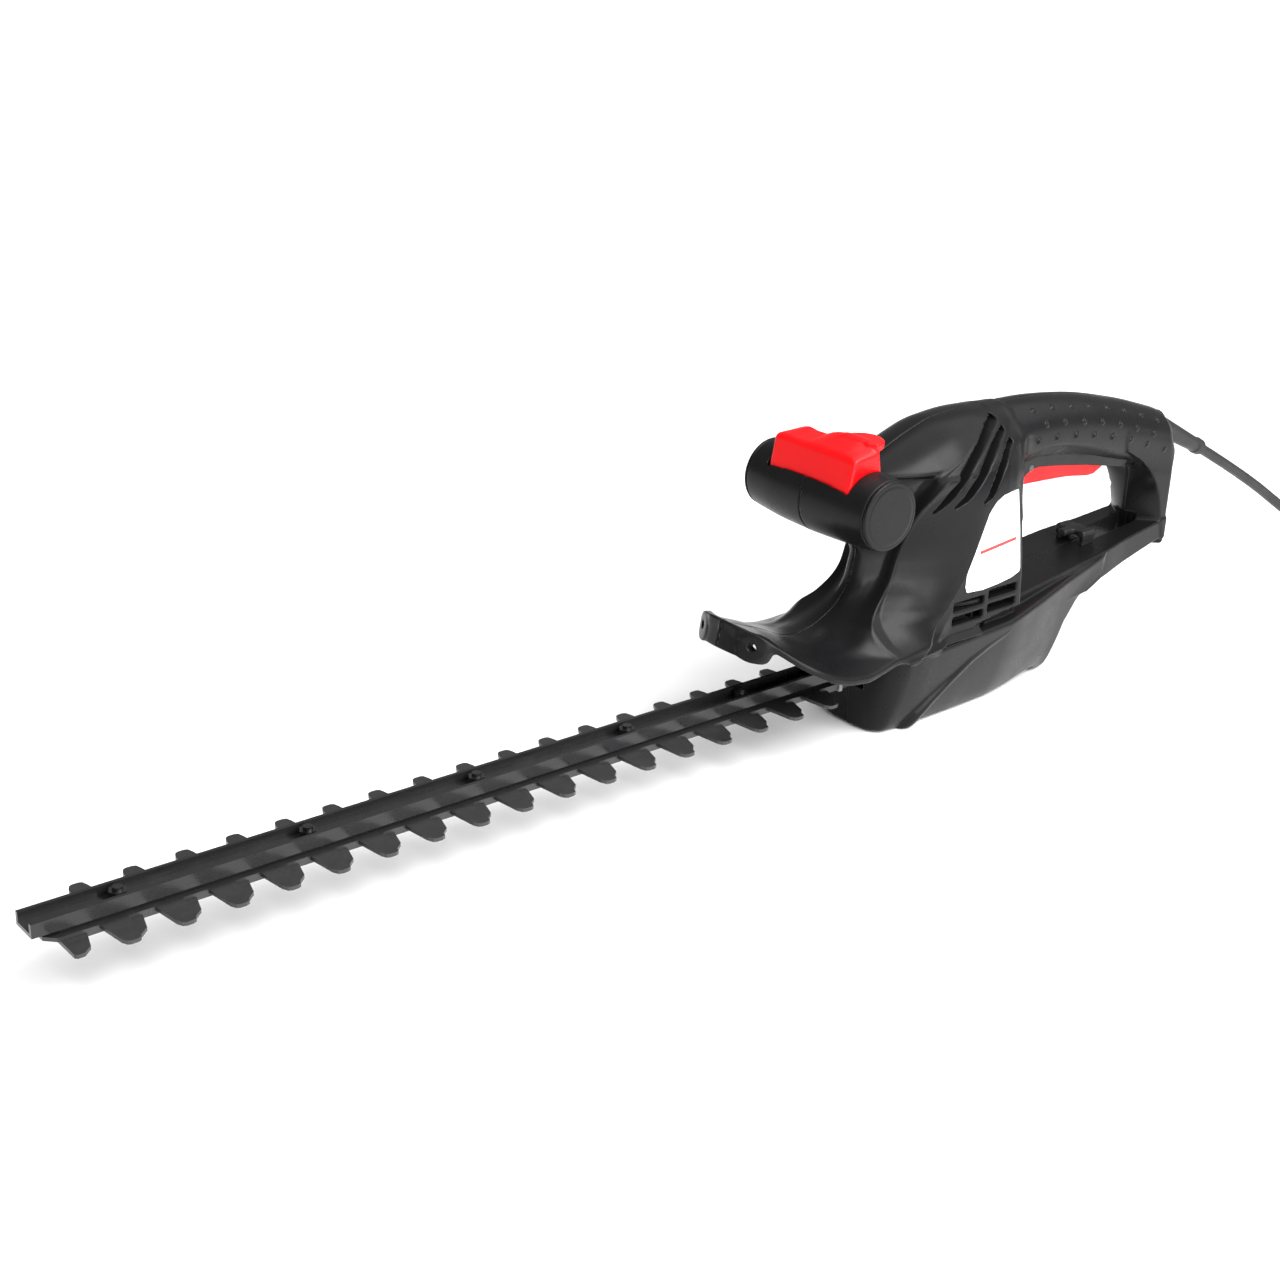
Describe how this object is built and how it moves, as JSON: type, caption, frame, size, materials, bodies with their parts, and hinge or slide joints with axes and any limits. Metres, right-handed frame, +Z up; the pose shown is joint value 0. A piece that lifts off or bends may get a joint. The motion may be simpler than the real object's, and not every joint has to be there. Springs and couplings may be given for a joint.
{
  "type": "hedge trimmer",
  "caption": "Electric hedge trimmer with a long double-sided reciprocating blade, hand guard, front and rear handles and a mains lead.",
  "frame": {"origin": "under the middle of the tool without its lead, on the surface it stands on", "axes": "+X forward along the blades, +Y to the left, +Z up"},
  "size_m": [1.1859, 0.1027, 0.188],
  "materials": {
    "black_housing": "moulded black plastic, satin gloss",
    "red_plastic": "moulded red plastic, satin",
    "black_paint": "glossy black coated steel",
    "black_blade": "black coated blade steel, semi-gloss",
    "blade_steel": "ground steel, slightly dulled",
    "bright_steel": "zinc plated steel",
    "cast_alloy": "die-cast, matt",
    "bronze": "sintered, plain",
    "copper_wire": "enamelled copper",
    "black_plastic": "moulded, matt",
    "black_rubber": "soft moulded, satin",
    "nickel_pins": "nickel plated",
    "label_white": "printed film, plain",
    "lead_insulation": "insulated wire",
    "felt": "grey felt"
  },
  "bodies": {
    "housing": {"housing_left": "black_housing", "housing_right": "black_housing", "handle_cap_left": "black_housing", "handle_cap_right": "black_housing", "guide_bar": "black_paint", "bar_spacer": "black_paint", "comb_blade": "black_blade", "bar_bolts": "bright_steel", "bar_nuts": "bright_steel", "gearcase_plate": "cast_alloy", "gearcase_cover": "cast_alloy", "gearcase_screws": "bright_steel", "gear_bush": "bronze", "lower_bearing": "bright_steel", "upper_bearing": "bright_steel", "stator_core": "blade_steel", "field_coils": "copper_wire", "fan_baffle": "black_plastic", "brush_plate": "black_plastic", "brush_holder_left": "bronze", "brush_holder_right": "bronze", "carbon_brush_left": "black_plastic", "carbon_brush_right": "black_plastic", "brush_spring_left": "bright_steel", "brush_spring_right": "bright_steel", "trigger_surround": "black_plastic", "trigger_pin": "bright_steel", "trigger_spring": "bright_steel", "rear_switch": "black_plastic", "front_switch": "black_plastic", "capacitor": "black_plastic", "cable_hook": "black_plastic", "cord_clamp": "black_plastic", "strain_relief": "black_rubber", "power_cord": "black_rubber", "plug_body": "black_rubber", "plug_pins": "nickel_pins", "side_label_left": "label_white", "side_label_right": "label_white", "housing_screws": "bright_steel", "supply_leads": "lead_insulation", "motor_leads": "lead_insulation", "front_leads": "lead_insulation", "felt_seal": "felt", "front_spring_left": "bright_steel", "front_spring_right": "bright_steel"},
    "armature": {"armature_shaft": "bright_steel", "motor_pinion": "bright_steel", "armature_core": "blade_steel", "armature_windings": "copper_wire", "commutator": "copper_wire", "fan": "black_plastic"},
    "gear": {"drive_gear": "bright_steel", "gear_shaft": "bright_steel", "crank_pin": "bright_steel"},
    "cutter": {"cutter_blade": "black_blade"},
    "trigger_lever": {"trigger": "red_plastic"},
    "rear_plunger": {"rear_switch_plunger": "red_plastic"},
    "switch_bar": {"front_switch_bar": "red_plastic"},
    "front_plunger": {"front_switch_plunger": "red_plastic"}
  },
  "joints": [
    {"name": "armature_spin", "type": "hinge", "parent": "housing", "child": "armature", "pos_m": [-0.188, 0, 0], "axis": [0, 0, 1], "range_deg": [-450, 450]},
    {"name": "gear_spin", "type": "hinge", "parent": "housing", "child": "gear", "pos_m": [-0.161, 0, 0], "axis": [0, 0, 1], "range_deg": [-90.1, 90.1]},
    {"name": "cutter_slide", "type": "slide", "parent": "housing", "child": "cutter", "axis": [1, 0, 0], "range_m": [-0.0081, 0.0081]},
    {"name": "trigger_pivot", "type": "hinge", "parent": "housing", "child": "trigger_lever", "pos_m": [-0.254, 0, 0.139], "axis": [0, 1, 0], "range_deg": [0, 5.5], "stiffness_Nm_per_rad": 2, "springref_deg": -8.59, "deforming": ["trigger_spring"]},
    {"name": "rear_plunger_slide", "type": "slide", "parent": "housing", "child": "rear_plunger", "axis": [0, 0, 1], "range_m": [0, 0.0033]},
    {"name": "switch_bar_slide", "type": "slide", "parent": "housing", "child": "switch_bar", "axis": [0, 0, -1], "range_m": [0, 0.004], "stiffness_N_per_m": 800, "springref_m": -0.004, "deforming": ["front_spring_left", "front_spring_right"]},
    {"name": "front_plunger_slide", "type": "slide", "parent": "housing", "child": "front_plunger", "axis": [0, 0, -1], "range_m": [0, 0.004]}
  ],
  "couplings": [
    {"joint": "gear_spin", "follows": "armature_spin", "ratio": -0.2},
    {"joint": "cutter_slide", "follows": "armature_spin", "m_per_rad": 0.0010186},
    {"joint": "rear_plunger_slide", "follows": "trigger_pivot", "m_per_rad": 0.033},
    {"joint": "front_plunger_slide", "follows": "switch_bar_slide", "ratio": 1}
  ]
}
